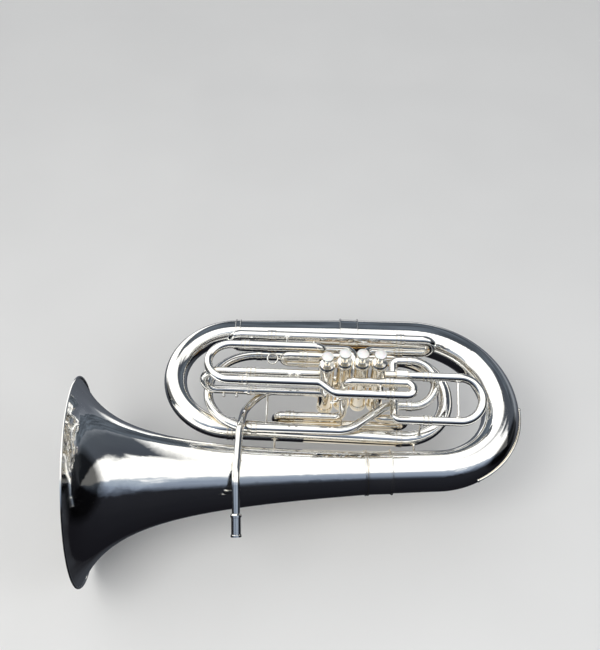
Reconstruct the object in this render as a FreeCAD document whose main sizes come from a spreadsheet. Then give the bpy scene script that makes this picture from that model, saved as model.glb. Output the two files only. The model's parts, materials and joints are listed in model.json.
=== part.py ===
"""Four-valve front-action tuba, lying on its back with the pistons up.

Frame, in millimetres: the origin is the centre of the bell mouth, +X runs from the mouth
towards the bottom bow, parallel to every slide, +Y runs from the bell towards the outer
branch, and +Z is the way the finger buttons point.
"""
import FreeCAD, Part
import math
import os
import Sketcher

Vector = FreeCAD.Vector
Z_AXIS = Vector(0, 0, 1)
FUSE_TOLERANCE = 1e-4
HORN_STEPS = 14

# Driving dimensions: name, millimetres or degrees, and what it is.
SIZES = [
    ("bell_mouth_radius", 216.0, "radius of the bell at the rim"),
    ("bell_length", 622.0, "bell along its own axis, rim to first ferrule"),
    ("bell_tilt", 3.93, "angle of the bell axis to the branches, degrees"),
    ("flare_offset", 72.4, "horn formula: distance of its pole outside the mouth"),
    ("flare_power", 0.7, "horn formula: exponent"),
    ("body_wall", 0.8, "wall of the bell and large branches"),
    ("rim_bead", 5.0, "width of the flat on the rim wire"),
    ("bow_end_x", 895.0, "centreline of the bottom bow at its far end"),
    ("outer_branch_y", 406.0, "centreline of the outer branch"),
    ("bow_bell_bend", 156.0, "bottom bow bend next to the bell"),
    ("bow_branch_bend", 198.0, "bottom bow bend next to the outer branch"),
    ("bow_radius_out", 36.5, "tube radius where the bottom bow meets the outer branch"),
    ("outer_joint_x", 560.0, "joint of bottom bow and outer branch"),
    ("top_joint_x", 304.0, "joints of the top bow"),
    ("top_bow_x", 171.3, "centreline of the top bow at its far end"),
    ("top_bow_bend", 132.5, "top bow bend"),
    ("outer_branch_radius", 28.0, "tube radius where the outer branch meets the top bow"),
    ("second_branch_radius", 23.0, "tube radius where the top bow meets the second branch"),
    ("second_branch_y", 140.6, "centreline of the second branch at the top bow"),
    ("second_branch_drop", 12.1, "how far the second branch nears the bell along its run"),
    ("inner_bow_radius", 16.5, "tube radius of the inner right bow"),
    ("inner_bow_x", 774.0, "centreline of the inner right bow at its far end"),
    ("inner_joint_x", 668.0, "joints of the inner right bow"),
    ("third_branch_y", 338.0, "centreline of the third branch"),
    ("third_branch_z", 4.0, "height of the third branch"),
    ("left_bow_x", 250.0, "centreline of the inner left bow at its far end"),
    ("left_joint_x", 356.0, "joints of the inner left bow"),
    ("small_branch_radius", 10.3, "tube radius of the inner left bow"),
    ("crossover_y", 118.0, "centreline of the crossover branch at its start"),
    ("crossover_z", 40.0, "height of the crossover branch at its start"),
    ("main_bore_radius", 9.5, "outer radius of the tubes of the main windway"),
    ("tube_wall", 0.9, "wall of the valve tubing"),
    ("leg_wall", 0.8, "wall of the sliding legs"),
    ("slide_clearance", 0.05, "radial gap between a leg and its sleeve"),
    ("ferrule_height", 1.3, "how far a ferrule stands proud of its tube"),
    ("belt_height", 1.1, "how far a bow ferrule stands proud of its tube"),
    ("ferrule_length", 8.0, "length of a slide ferrule"),
    ("sleeve_ferrule_length", 10.0, "length of a ferrule at a sleeve's mouth"),
    ("throat_ferrule_length", 56.0, "ferrule between the bell and the bottom bow"),
    ("outer_ferrule_length", 40.0, "ferrule between the bottom bow and the outer branch"),
    ("band_inset", 3.0, "how far a ferrule's raised bands lie inside its ends"),
    ("collar_length", 12.0, "length of a plain collar on the branches"),
    ("return_bow_x", 747.0, "centreline of the return bow at its far end"),
    ("return_bend", 50.0, "bends of the return bow"),
    ("inner_low_bend", 100.0, "inner right bow bend next to the second branch"),
    ("inner_high_bend", 104.0, "inner right bow bend next to the third branch"),
    ("left_bow_bend", 105.0, "bends of the inner left bow"),
    ("bow_narrowing", 0.2, "how much an inner bow narrows along its length"),
    ("crossover_turn_x", 555.0, "where the crossover branch starts to climb"),
    ("crossover_top_x", 641.0, "where the crossover branch levels out"),
    ("crossover_bend", 60.0, "bends of the crossover branch"),
    ("valve_x", 507.0, "axis of the first valve"),
    ("valve_spacing", 37.0, "distance from valve to valve"),
    ("valve_y", 228.0, "axis of valves two, three and four"),
    ("first_valve_y", 218.0, "axis of the first valve, set in for the index finger"),
    ("casing_radius", 15.5, "outside of a valve casing"),
    ("casing_bore", 14.5, "inside of a valve casing"),
    ("casing_bottom", -20.0, "lower end of the casings"),
    ("casing_top", 138.0, "upper end of the casings"),
    ("piston_radius", 14.45, "outside of a piston"),
    ("piston_bottom", 0.0, "lower end of a piston at rest"),
    ("piston_top", 117.0, "upper end of a piston at rest"),
    ("recess_radius", 9.0, "spring recess in a piston"),
    ("recess_top", 26.0, "top of the spring recess"),
    ("stem_radius", 3.5, "valve stem"),
    ("stem_hole", 3.58, "stem hole in the top cap"),
    ("cap_radius", 17.2, "outside of top and bottom caps"),
    ("cap_bore", 15.55, "inside of the caps, over the casing"),
    ("cap_skirt_bottom", 128.0, "lower edge of the top cap"),
    ("cap_top", 142.0, "upper face of the top cap"),
    ("bottom_cap_low", -25.0, "lowest face of the bottom cap"),
    ("bottom_cap_high", -9.0, "upper edge of the bottom cap"),
    ("bottom_boss_low", -28.0, "lower end of the boss on the bottom cap"),
    ("bottom_boss_radius", 8.0, "boss on the bottom cap"),
    ("button_radius", 13.0, "finger button"),
    ("button_bottom", 163.0, "underside of a finger button at rest"),
    ("button_top", 169.0, "upper edge of a finger button at rest"),
    ("pearl_radius", 11.6, "pearl inlay"),
    ("pearl_seat", 167.0, "where the pearl sits in the button"),
    ("pearl_crown", 173.0, "crown of the pearl"),
    ("pearl_dome_radius", 19.0, "radius of the pearl's dome"),
    ("knuckle_radius", 9.2, "tubes that join the casings"),
    ("knuckle_z", 62.0, "height of the tubes that join the casings"),
    ("port_reach", 30.0, "length of a port bore from its valve's axis"),
    ("spring_radius", 7.0, "mean radius of a valve spring"),
    ("spring_wire", 0.8, "radius of the spring wire"),
    ("spring_pitch", 8.0, "pitch of a valve spring at rest"),
    ("first_tube_radius", 9.0, "outer radius of the first valve's tubing"),
    ("second_tube_radius", 7.0, "outer radius of the second valve's tubing"),
    ("third_tube_radius", 10.0, "outer radius of the third valve's tubing"),
    ("fourth_tube_radius", 9.0, "outer radius of the fourth valve's tubing"),
    ("leadpipe_z", 24.0, "height of the leadpipe where it meets the first valve"),
    ("leadpipe_radius", 8.0, "outer radius of the leadpipe"),
    ("receiver_radius", 9.6, "outside of the mouthpiece receiver"),
    ("receiver_length", 46.0, "length of the mouthpiece receiver"),
    ("receiver_bore", 7.4, "receiver bore at its mouth"),
    ("receiver_land", 5.0, "length of the straight bore at the receiver's mouth"),
    ("receiver_throat", 6.4, "receiver bore at the end of its taper"),
    ("receiver_socket", 14.0, "depth of the socket over the leadpipe"),
    ("brace_radius", 2.5, "brace rods"),
    ("knob_radius", 3.6, "knobs on the first slide"),
    ("knob_reach", 16.0, "knobs outside the centreline of the first slide"),
    ("ring_wire_radius", 1.7, "wire of the pull ring"),
    ("pull_ring_radius", 11.0, "pull ring of the second slide"),
    ("guard_radius", 2.4, "guard wire on the bottom bow"),
    ("guard_ball", 3.6, "balls at the ends of the guard wire"),
    ("guard_offset", 43.2, "guard wire outside the centreline of the bottom bow"),
    ("key_thickness", 1.8, "water key lever"),
    ("key_width", 5.0, "water key lever"),
    ("key_z", 82.0, "height of the water hole"),
    ("key_reach", 13.0, "from the water hole to the key's pin"),
    ("key_touch", 28.0, "from the water hole to the middle of the key's touch"),
    ("key_touch_radius", 4.6, "touch of the water key"),
    ("key_turn", -30.0, "slant of the water key, degrees"),
    ("return_x", 690.0, "joints of the return bow"),
    ("return_low_y", 194.0, "lower leg of the return bow"),
    ("return_low_z", 30.0, "height of the lower leg of the return bow"),
    ("return_high_y", 286.0, "upper leg of the return bow"),
    ("return_high_z", 70.0, "height of the upper leg of the return bow"),
    ("tuning_mouth_x", 725.0, "mouths of the tuning slide's sleeves"),
    ("tuning_bow_x", 842.0, "centreline of the tuning slide at its far end"),
    ("tuning_upper_z", 95.0, "height of the tuning slide's upper leg"),
    ("tuning_lower_y", 138.0, "tuning slide's lower leg"),
    ("tuning_lower_z", 60.0, "height of the tuning slide's lower leg"),
    ("tuning_leg", 55.0, "tuning slide's legs inside their sleeves"),
    ("cross_tube_x", 654.0, "tube from the tuning slide to the return bow"),
    ("cross_tube_bend", 12.0, "bends of the tube from the tuning slide"),
    ("wide_collar_x", 656.0, "wide collar on the tuning slide's upper sleeve"),
    ("wide_collar_length", 26.0, "length of the wide collar"),
    ("wide_collar_height", 5.0, "how far the wide collar stands proud of its tube"),
    ("first_mouth_x", 345.0, "mouths of the first valve's sleeves"),
    ("first_bow_x", 243.0, "centreline of the first slide at its far end"),
    ("first_upper_y", 222.0, "first slide's upper leg"),
    ("first_upper_z", 100.0, "height of the first slide's upper leg"),
    ("first_lower_y", 212.0, "first slide's lower leg"),
    ("first_lower_z", 45.2, "height of the first slide's lower leg"),
    ("first_leg", 75.0, "first slide's legs inside their sleeves"),
    ("second_mouth_x", 455.0, "mouths of the second valve's sleeves"),
    ("second_bow_x", 412.0, "centreline of the second slide at its far end"),
    ("second_slide_y", 255.0, "second slide's legs"),
    ("second_upper_z", 120.0, "height of the second slide's upper leg"),
    ("second_lower_z", 91.0, "height of the second slide's lower leg"),
    ("second_leg", 45.0, "second slide's legs inside their sleeves"),
    ("third_left_x", 385.0, "mouths of the third valve's left sleeves"),
    ("third_left_bow_x", 296.0, "centreline of the third slide at its far end"),
    ("third_right_x", 670.0, "mouths of the third valve's right sleeves"),
    ("third_right_bow_x", 741.0, "centreline of the third rear slide at its far end"),
    ("third_loop_y", 325.0, "third valve's loop"),
    ("third_upper_z", 97.0, "height of the third loop's upper tube"),
    ("third_lower_z", 52.0, "height of the third loop's lower tube"),
    ("third_left_turn_x", 566.0, "where the left lower tube slants to the valve"),
    ("third_right_turn_x", 596.0, "where the right lower tube slants to the valve"),
    ("third_turn_bend", 20.0, "bends of the slanting tubes"),
    ("third_low_port", 26.0, "height of the third valve's lower port"),
    ("third_high_port", 74.0, "height of the third valve's upper port"),
    ("third_left_leg", 65.0, "third slide's legs inside their sleeves"),
    ("third_right_leg", 50.0, "third rear slide's legs inside their sleeves"),
    ("fourth_left_x", 330.0, "mouths of the fourth valve's left sleeves"),
    ("fourth_left_bow_x", 254.0, "centreline of the fourth slide at its far end"),
    ("fourth_right_x", 640.0, "mouths of the fourth valve's right sleeves"),
    ("fourth_right_bow_x", 690.0, "centreline of the short slide at its far end"),
    ("fourth_low_x", 430.0, "mouths of the fourth valve's low sleeves"),
    ("fourth_low_bow_x", 400.0, "centreline of the low slide at its far end"),
    ("fourth_left_leg", 85.0, "fourth slide's legs inside their sleeves"),
    ("fourth_right_leg", 60.0, "short slide's legs inside their sleeves"),
    ("fourth_low_leg", 50.0, "low slide's legs inside their sleeves"),
    ("fourth_left_z", 125.0, "height of the fourth slide"),
    ("fourth_outer_y", 276.0, "fourth slide's outer leg"),
    ("fourth_inner_y", 182.0, "fourth slide's inner leg"),
    ("fourth_outer_x", 500.0, "where the outer tube turns down"),
    ("fourth_outer_bend", 20.0, "bends of the outer tube"),
    ("fourth_port_z", 8.0, "height of the fourth valve's outer port"),
    ("fourth_inner_x", 492.0, "where the inner tube starts to slant"),
    ("short_start_x", 524.0, "where the inner tube reaches the short slide's line"),
    ("fourth_inner_bend", 25.0, "bends of the inner tube"),
    ("short_turn_x", 545.0, "upright tube from the short slide to the low slide"),
    ("short_turn_bend", 18.0, "bends of the upright tube"),
    ("low_turn_x", 682.0, "where the tube from the fourth valve doubles back"),
    ("low_port_bend", 14.0, "bend of that tube next to the valve"),
    ("short_slide_z", 120.0, "height of the short slide"),
    ("short_upper_y", 191.0, "short slide's outer leg"),
    ("short_lower_y", 159.0, "short slide's inner leg"),
    ("low_slide_y", 175.0, "low slide's legs"),
    ("low_upper_z", 7.0, "height of the low slide's upper leg"),
    ("low_lower_z", -23.0, "height of the low slide's lower leg"),
]

doc = FreeCAD.newDocument("Tuba")
sheet = doc.addObject("Spreadsheet::Sheet", "Sizes")
for row, (alias, value, meaning) in enumerate(SIZES, start=1):
    sheet.set(f"A{row}", alias)
    sheet.set(f"B{row}", str(value))
    sheet.set(f"C{row}", meaning)
    sheet.setAlias(f"B{row}", alias)
doc.recompute()
exported = []
outlines = {}


def size(alias):
    """A driving dimension as a plain number."""
    return float(sheet.get(alias))


def keep(item, label):
    """Mark an object of the document as one piece of the tuba."""
    item.Label = label
    exported.append(item)
    return item


def feature(label, shape, placement=None):
    """A piece whose shape no primitive or sketch feature can give."""
    item = doc.addObject("Part::Feature", label.title().replace("_", ""))
    item.Shape = shape
    if placement is not None:
        item.Placement = placement
    return keep(item, label)


# ---------------------------------------------------------------- geometry helpers

def rounded_path(corners, bends):
    """Straights and arcs through the corners: (start, end) or (start, end, centre, axis, angle)."""
    points = [Vector(*corner) for corner in corners]
    path = []
    here = points[0]
    for corner, following, bend in zip(points[1:], points[2:], bends):
        inward = (here - corner).normalize()
        outward = (following - corner).normalize()
        half = inward.getAngle(outward) / 2
        start = corner + inward * (bend / math.tan(half))
        end = corner + outward * (bend / math.tan(half))
        centre = corner + (inward + outward).normalize() * (bend / math.sin(half))
        axis = (start - centre).cross(end - centre).normalize()
        if (start - here).Length > 1e-4:
            path.append((here, start))
        path.append((start, end, centre, axis, math.pi - 2 * half))
        here = end
    if (points[-1] - here).Length > 1e-4:
        path.append((here, points[-1]))
    return path


def disc(centre, direction, radius):
    return Part.Face(Part.Wire(Part.makeCircle(radius, centre, direction)))


def stretch_length(stretch):
    if len(stretch) == 2:
        return (stretch[1] - stretch[0]).Length
    return (stretch[0] - stretch[2]).Length * stretch[4]


def tapered_arc(stretch, first_radius, last_radius):
    """A bent tube whose radius changes evenly along an arc."""
    start, end, centre, axis, angle = stretch
    first_way = axis.cross(start - centre).normalize()
    last_way = axis.cross(end - centre).normalize()
    halfway = FreeCAD.Rotation(axis, math.degrees(angle / 2)).multVec(start - centre)
    spine = Part.Wire(Part.Arc(start, centre + halfway, end).toShape())
    rings = [
        Part.Wire(Part.makeCircle(first_radius, start, first_way)),
        Part.Wire(Part.makeCircle(last_radius, end, last_way)),
    ]
    return spine.makePipeShell(rings, True, False)


def solid_along(corners, bends, first_radius, last_radius=None):
    """A filled round bar along a rounded path, with an even taper if two radii are given."""
    path = rounded_path(corners, bends)
    total = sum(stretch_length(stretch) for stretch in path)
    change = 0.0 if last_radius is None else (last_radius - first_radius) / total
    radius = first_radius
    solids = []
    for stretch in path:
        next_radius = radius + change * stretch_length(stretch)
        start, end = stretch[0], stretch[1]
        if len(stretch) == 5 and change:
            solids.append(tapered_arc(stretch, radius, next_radius))
        elif len(stretch) == 5:
            centre, axis, angle = stretch[2:]
            way = axis.cross(start - centre)
            solids.append(disc(start, way, radius).revolve(centre, axis, math.degrees(angle)))
        elif change:
            length = (end - start).Length
            solids.append(Part.makeCone(radius, next_radius, length, start, end - start))
        else:
            solids.append(disc(start, end - start, radius).extrude(end - start))
        radius = next_radius
    if len(solids) == 1:
        return solids[0]
    return solids[0].multiFuse(solids[1:], FUSE_TOLERANCE).removeSplitter()


def bar(start, end, radius):
    """A round bar between two points."""
    way = Vector(*end) - Vector(*start)
    return Part.makeCylinder(radius, way.Length, Vector(*start), way)


def fused(solids):
    return solids[0].multiFuse(solids[1:]).removeSplitter() if len(solids) > 1 else solids[0]


def casing_core(index):
    """The full outside cylinder of a casing, used to fit tubes to it."""
    x, y = valve_place(index)
    height = size("casing_top") - size("casing_bottom")
    return Part.makeCylinder(size("casing_radius"), height, Vector(x, y, size("casing_bottom")))


def valve_place(index):
    y = size("first_valve_y") if index == 0 else size("valve_y")
    return size("valve_x") + index * size("valve_spacing"), y


def run(corners, bends, radius, against=()):
    """A constant tube; its ends are cut to fit the casings named in against."""
    outer = solid_along(corners, bends, radius)
    bore = solid_along(corners, bends, radius - size("tube_wall"))
    tube = outer.cut(bore)
    for index in against:
        tube = tube.cut(casing_core(index))
        outer = outer.cut(casing_core(index))
    return tube, outer


def tube_group(label, runs):
    """One piece made of soldered tube runs."""
    pairs = [run(*each) for each in runs]
    outlines[label] = [outer for tube, outer in pairs]
    tubes = [tube for tube, outer in pairs]
    return feature(label, Part.makeCompound(tubes) if len(tubes) > 1 else tubes[0])


def branch(label, corners, bends, first_radius, last_radius):
    """A tapered branch or bow of the main tube."""
    wall = size("body_wall")
    outer = solid_along(corners, bends, first_radius, last_radius)
    bore = solid_along(corners, bends, first_radius - wall, last_radius - wall)
    outlines[label] = [outer]
    return feature(label, outer.cut(bore))


def slide(label, mouth_x, bow_x, first_leg, second_leg, radius, leg_length):
    """A slide: a half-round bow with a ferrule and a thinner leg at each end, for its sleeves."""
    corners = [(mouth_x, *first_leg), (bow_x, *first_leg), (bow_x, *second_leg),
               (mouth_x, *second_leg)]
    points = [Vector(*corner) for corner in corners]
    bend = (points[2] - points[1]).Length / 2
    leg_radius = radius - size("tube_wall") - size("slide_clearance")
    pieces = [solid_along(corners, [bend, bend], radius)]
    legs = []
    for mouth, inner in ((points[0], points[1]), (points[-1], points[-2])):
        way = (mouth - inner).normalize()
        pieces.append(bar(mouth - way * size("ferrule_length"), mouth, radius + size("ferrule_height")))
        legs.append(mouth + way * leg_length)
        pieces.append(bar(mouth - way, legs[-1], leg_radius))
    bore_path = [legs[0], points[1], points[2], legs[1]]
    bore = solid_along(bore_path, [bend, bend], leg_radius - size("leg_wall"))
    outer = fused(pieces)
    outlines[label] = [outer]
    return feature(label, outer.cut(bore))


def turned(label, profile, place=(0, 0), placement=None):
    """A body turned about its Z axis from a closed profile of (radius, height) expressions."""
    body = doc.addObject("PartDesign::Body", label.title().replace("_", ""))
    sketch = body.newObject("Sketcher::SketchObject", body.Name + "Profile")
    plane = [item for item in body.Origin.OriginFeatures if item.Role == "XZ_Plane"][0]
    sketch.AttachmentSupport = [(plane, "")]
    sketch.MapMode = "FlatFace"
    corners = [[evaluate(expression) for expression in corner] for corner in profile]
    for number, corner in enumerate(corners):
        following = corners[(number + 1) % len(corners)]
        sketch.addGeometry(Part.LineSegment(Vector(*corner), Vector(*following)), False)
    for number, corner in enumerate(profile):
        sketch.addConstraint(
            Sketcher.Constraint("Coincident", number, 2, (number + 1) % len(profile), 1))
        for kind, expression, value in zip(("DistanceX", "DistanceY"), corner, corners[number]):
            index = sketch.addConstraint(Sketcher.Constraint(kind, -1, 1, number, 1, value))
            sketch.setExpression(f"Constraints[{index}]", bound(expression))
    turn = body.newObject("PartDesign::Revolution", body.Name + "Turn")
    turn.Profile = sketch
    turn.ReferenceAxis = (sketch, ["V_Axis"])
    turn.Angle = 360
    body.Placement = placement or FreeCAD.Placement(Vector(*place, 0), FreeCAD.Rotation())
    return body


def bound(expression):
    """An expression with its size names bound to the sheet."""
    words = [f"Sizes.{word}" if word.replace("_", "").isalpha() else word
             for word in expression.split()]
    return " ".join(words)


def evaluate(expression):
    """The value of a sum of size names and numbers, such as 'cap_top - 3'."""
    total = 0.0
    sign = 1.0
    for word in expression.split():
        if word in "+-":
            sign = 1.0 if word == "+" else -1.0
        else:
            total += sign * (size(word) if word.replace("_", "").isalpha() else float(word))
    return total


# ---------------------------------------------------------------- bell and large branches

BELL_TURN = FreeCAD.Rotation(Z_AXIS, size("bell_tilt"))
BELL_WAY = BELL_TURN.multVec(Vector(1, 0, 0))


def horn_radius(distance):
    """Outer radius of the bell at a distance from its mouth: the Bessel horn."""
    pole = size("flare_offset")
    return size("bell_mouth_radius") * (pole / (pole + distance)) ** size("flare_power")


def horn_curve(thickness):
    """The bell's outline, moved in by a thickness, from the rim to the first ferrule."""
    stations = [size("bell_length") * (step / HORN_STEPS) ** 2 for step in range(HORN_STEPS + 1)]
    points = [Vector(x, horn_radius(x) - thickness, 0) for x in stations]
    curve = Part.BSplineCurve()
    curve.interpolate(points)
    return curve.toShape()


def horn_solid(thickness):
    edge = horn_curve(thickness)
    first = edge.Vertexes[0].Point
    last = edge.Vertexes[-1].Point
    outline = Part.makePolygon([last, Vector(last.x, 0, 0), Vector(first.x, 0, 0), first])
    face = Part.Face(Part.Wire(Part.__sortEdges__([edge] + outline.Edges)))
    solid = face.revolve(Vector(0, 0, 0), Vector(1, 0, 0), 360)
    if solid.Volume < 0:
        solid.reverse()
    solid.rotate(Vector(0, 0, 0), Z_AXIS, size("bell_tilt"))
    return solid


horn = horn_solid(0)
outlines["bell"] = [horn]
throat = BELL_WAY * size("bell_length")
throat_radius = horn_radius(size("bell_length"))

# The rim wire is a ring with a flat outer face, wrapped round the edge of the bell.
half_flat = size("rim_bead") / 2
rim = size("bell_mouth_radius")
flat_line = Part.LineSegment(Vector(0, rim - half_flat, 0), Vector(0, rim + half_flat, 0))
bead_arc = Part.Arc(Vector(0, rim + half_flat, 0), Vector(half_flat + 1, rim, 0),
                    Vector(0, rim - half_flat, 0))
bead = Part.Face(Part.Wire([flat_line.toShape(), bead_arc.toShape()]))
ring = bead.revolve(Vector(0, 0, 0), Vector(1, 0, 0), 360)
ring.rotate(Vector(0, 0, 0), Z_AXIS, size("bell_tilt"))
feature("bell_rim_wire", ring)
feature("bell", horn.cut(horn_solid(size("body_wall"))).cut(ring))

bow_x = size("bow_end_x")
outer_y = size("outer_branch_y")
bow_corners = [tuple(throat), (bow_x, bow_x * math.tan(math.radians(size("bell_tilt"))), 0),
               (bow_x, outer_y, 0), (size("outer_joint_x"), outer_y, 0)]
bow_bends = [size("bow_bell_bend"), size("bow_branch_bend")]
branch("bottom_bow", bow_corners, bow_bends, throat_radius, size("bow_radius_out"))
branch("outer_branch",
       [(size("outer_joint_x"), outer_y, 0), (size("top_joint_x"), outer_y, 0)], [],
       size("bow_radius_out"), size("outer_branch_radius"))
second_run = size("inner_joint_x") - size("top_joint_x")
second_slope = size("second_branch_drop") / second_run
second_y = size("second_branch_y")


def second_branch_y(x):
    return second_y - (x - size("top_joint_x")) * second_slope


branch("top_bow",
       [(size("top_joint_x"), outer_y, 0), (size("top_bow_x"), outer_y, 0),
        (size("top_bow_x"), second_branch_y(size("top_bow_x")), 0),
        (size("top_joint_x"), second_y, 0)],
       [size("top_bow_bend")] * 2, size("outer_branch_radius"), size("second_branch_radius"))
branch("second_branch",
       [(size("top_joint_x"), second_y, 0),
        (size("inner_joint_x"), second_branch_y(size("inner_joint_x")), 0)], [],
       size("second_branch_radius"), size("inner_bow_radius"))
third = (size("third_branch_y"), size("third_branch_z"))
third_start = size("inner_bow_radius") - size("bow_narrowing")
branch("inner_right_bow",
       [(size("inner_joint_x"), second_branch_y(size("inner_joint_x")), 0),
        (size("inner_bow_x"), second_branch_y(size("inner_bow_x")), 0),
        (size("inner_bow_x"), *third), (size("inner_joint_x"), *third)],
       [size("inner_low_bend"), size("inner_high_bend")], size("inner_bow_radius"), third_start)
branch("third_branch",
       [(size("inner_joint_x"), *third), (size("left_joint_x"), *third)], [],
       third_start, size("small_branch_radius"))
crossover = (size("crossover_y"), size("crossover_z"))
crossover_start = size("small_branch_radius") - size("bow_narrowing")
return_x = size("return_x")
return_low = (size("return_low_y"), size("return_low_z"))
return_high = (size("return_high_y"), size("return_high_z"))
branch("inner_left_bow",
       [(size("left_joint_x"), *third), (size("left_bow_x"), *third),
        (size("left_bow_x"), *crossover), (size("left_joint_x"), *crossover)],
       [size("left_bow_bend")] * 2, size("small_branch_radius"), crossover_start)
branch("crossover_branch",
       [(size("left_joint_x"), *crossover), (size("crossover_turn_x"), *crossover),
        (size("crossover_top_x"), *return_low), (return_x, *return_low)],
       [size("crossover_bend")] * 2, crossover_start, size("main_bore_radius"))
branch("return_bow",
       [(return_x, *return_low), (size("return_bow_x"), *return_low),
        (size("return_bow_x"), *return_high), (return_x, *return_high)],
       [size("return_bend")] * 2, size("main_bore_radius"), size("main_bore_radius") - 0.1)

# ---------------------------------------------------------------- valve tubing and slides

VALVE_ONE, VALVE_TWO, VALVE_THREE, VALVE_FOUR = (valve_place(index) for index in range(4))
main_radius = size("main_bore_radius")
first_radius = size("first_tube_radius")
second_radius = size("second_tube_radius")
third_radius = size("third_tube_radius")
fourth_radius = size("fourth_tube_radius")
four_x = VALVE_FOUR[0]

# The main slide's sleeves: one from valve four, one that crosses to the return bow.
tuning_mouth_x = size("tuning_mouth_x")
cross_x = size("cross_tube_x")
upper_main = (size("valve_y"), size("tuning_upper_z"))
lower_main = (size("tuning_lower_y"), size("tuning_lower_z"))
tube_group("tuning_slide_sleeves", [
    ([(four_x, *upper_main), (tuning_mouth_x, *upper_main)], [], main_radius, [3]),
    ([(tuning_mouth_x, *lower_main), (cross_x, *lower_main), (cross_x, *return_high),
      (return_x, *return_high)], [size("cross_tube_bend")] * 2, main_radius),
])
slide("tuning_slide", tuning_mouth_x, size("tuning_bow_x"), upper_main, lower_main, main_radius,
      size("tuning_leg"))

first_mouth_x = size("first_mouth_x")
first_upper = (size("first_upper_y"), size("first_upper_z"))
first_lower = (size("first_lower_y"), size("first_lower_z"))
tube_group("first_valve_sleeves", [
    ([(VALVE_ONE[0], *first_upper), (first_mouth_x, *first_upper)], [], first_radius, [0]),
    ([(VALVE_ONE[0], *first_lower), (first_mouth_x, *first_lower)], [], first_radius, [0]),
])
slide("first_valve_slide", first_mouth_x, size("first_bow_x"), first_upper, first_lower,
      first_radius, size("first_leg"))

two_x = VALVE_TWO[0]
second_mouth_x = size("second_mouth_x")
second_upper = (size("second_slide_y"), size("second_upper_z"))
second_lower = (size("second_slide_y"), size("second_lower_z"))
tube_group("second_valve_sleeves", [
    ([(second_mouth_x, y, z), (two_x, y, z), (two_x, VALVE_TWO[1], z)], [9], second_radius, [1])
    for y, z in (second_upper, second_lower)])
slide("second_valve_slide", second_mouth_x, size("second_bow_x"), second_upper, second_lower,
      second_radius, size("second_leg"))

# The third valve's two low tubes cross as they slant into its casing.
third_left_x = size("third_left_x")
third_right_x = size("third_right_x")
third_high = (size("third_loop_y"), size("third_upper_z"))
third_low = (size("third_loop_y"), size("third_lower_z"))
third_left_port = ((size("third_left_turn_x"), *third_low), (*VALVE_THREE, size("third_low_port")))
third_right_port = ((size("third_right_turn_x"), *third_low),
                    (*VALVE_THREE, size("third_high_port")))
third_bend = size("third_turn_bend")
tube_group("third_valve_sleeves", [
    ([(third_left_x, *third_high), (third_right_x, *third_high)], [], third_radius),
    ([(third_left_x, *third_low), *third_left_port], [third_bend], third_radius, [2]),
    ([(third_right_x, *third_low), *third_right_port], [third_bend], third_radius, [2]),
])
slide("third_valve_slide", third_left_x, size("third_left_bow_x"), third_high, third_low,
      third_radius, size("third_left_leg"))
slide("third_valve_rear_slide", third_right_x, size("third_right_bow_x"), third_high, third_low,
      third_radius, size("third_right_leg"))

fourth_left_x = size("fourth_left_x")
fourth_right_x = size("fourth_right_x")
fourth_low_x = size("fourth_low_x")
fourth_outer = (size("fourth_outer_y"), size("fourth_left_z"))
fourth_inner = (size("fourth_inner_y"), size("fourth_left_z"))
short_upper = (size("short_upper_y"), size("short_slide_z"))
short_lower = (size("short_lower_y"), size("short_slide_z"))
low_upper = (size("low_slide_y"), size("low_upper_z"))
low_lower = (size("low_slide_y"), size("low_lower_z"))
low_bend = (size("low_upper_z") - size("low_lower_z")) / 2 - 0.1
fourth_port = (*VALVE_FOUR, size("fourth_port_z"))
outer_turn = (size("fourth_outer_y"), size("fourth_port_z"))
outer_x = size("fourth_outer_x")
short_x = size("short_turn_x")
low_x = size("low_turn_x")
tube_group("fourth_valve_sleeves", [
    ([(fourth_left_x, *fourth_outer), (outer_x, *fourth_outer), (outer_x, *outer_turn),
      (four_x, *outer_turn), fourth_port], [size("fourth_outer_bend")] * 3, fourth_radius, [3]),
    ([(fourth_left_x, *fourth_inner), (size("fourth_inner_x"), *fourth_inner),
      (size("short_start_x"), *short_lower), (fourth_right_x, *short_lower)],
     [size("fourth_inner_bend")] * 2, fourth_radius),
    ([(fourth_right_x, *short_upper), (short_x, *short_upper), (short_x, *low_upper),
      (fourth_low_x, *low_upper)], [size("short_turn_bend")] * 2, fourth_radius),
    ([(*VALVE_FOUR, size("low_upper_z")), (four_x, *low_upper), (low_x, *low_upper),
      (low_x, *low_lower), (fourth_low_x, *low_lower)],
     [size("low_port_bend"), low_bend, low_bend], fourth_radius, [3]),
])
slide("fourth_valve_slide", fourth_left_x, size("fourth_left_bow_x"), fourth_outer, fourth_inner,
      fourth_radius, size("fourth_left_leg"))
slide("fourth_valve_short_slide", fourth_right_x, size("fourth_right_bow_x"), short_upper,
      short_lower, fourth_radius, size("fourth_right_leg"))
slide("fourth_valve_low_slide", fourth_low_x, size("fourth_low_bow_x"), low_upper, low_lower,
      fourth_radius, size("fourth_low_leg"))

# ---------------------------------------------------------------- leadpipe and receiver

# The leadpipe leaves valve one, passes under its slide, climbs over the branches and the bell.
pipe_z = size("leadpipe_z")
LEADPIPE = [(VALVE_ONE[0], VALVE_ONE[1], pipe_z), (470, 228, pipe_z), (378, 228, pipe_z),
            (333, 178, pipe_z), (330, 80, 100), (329, -35, 98), (334, -131, 30)]
PIPE_BENDS = [60, 66, 68, 60, 50]
leadpipe_end = Vector(*LEADPIPE[-1])
receiver_way = (leadpipe_end - Vector(*LEADPIPE[-2])).normalize()
pipe_stop = leadpipe_end - receiver_way * (size("receiver_length") - size("receiver_socket"))
tube_group("leadpipe", [
    (LEADPIPE[:-1] + [tuple(pipe_stop)], PIPE_BENDS, size("leadpipe_radius"), [0])])

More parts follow.
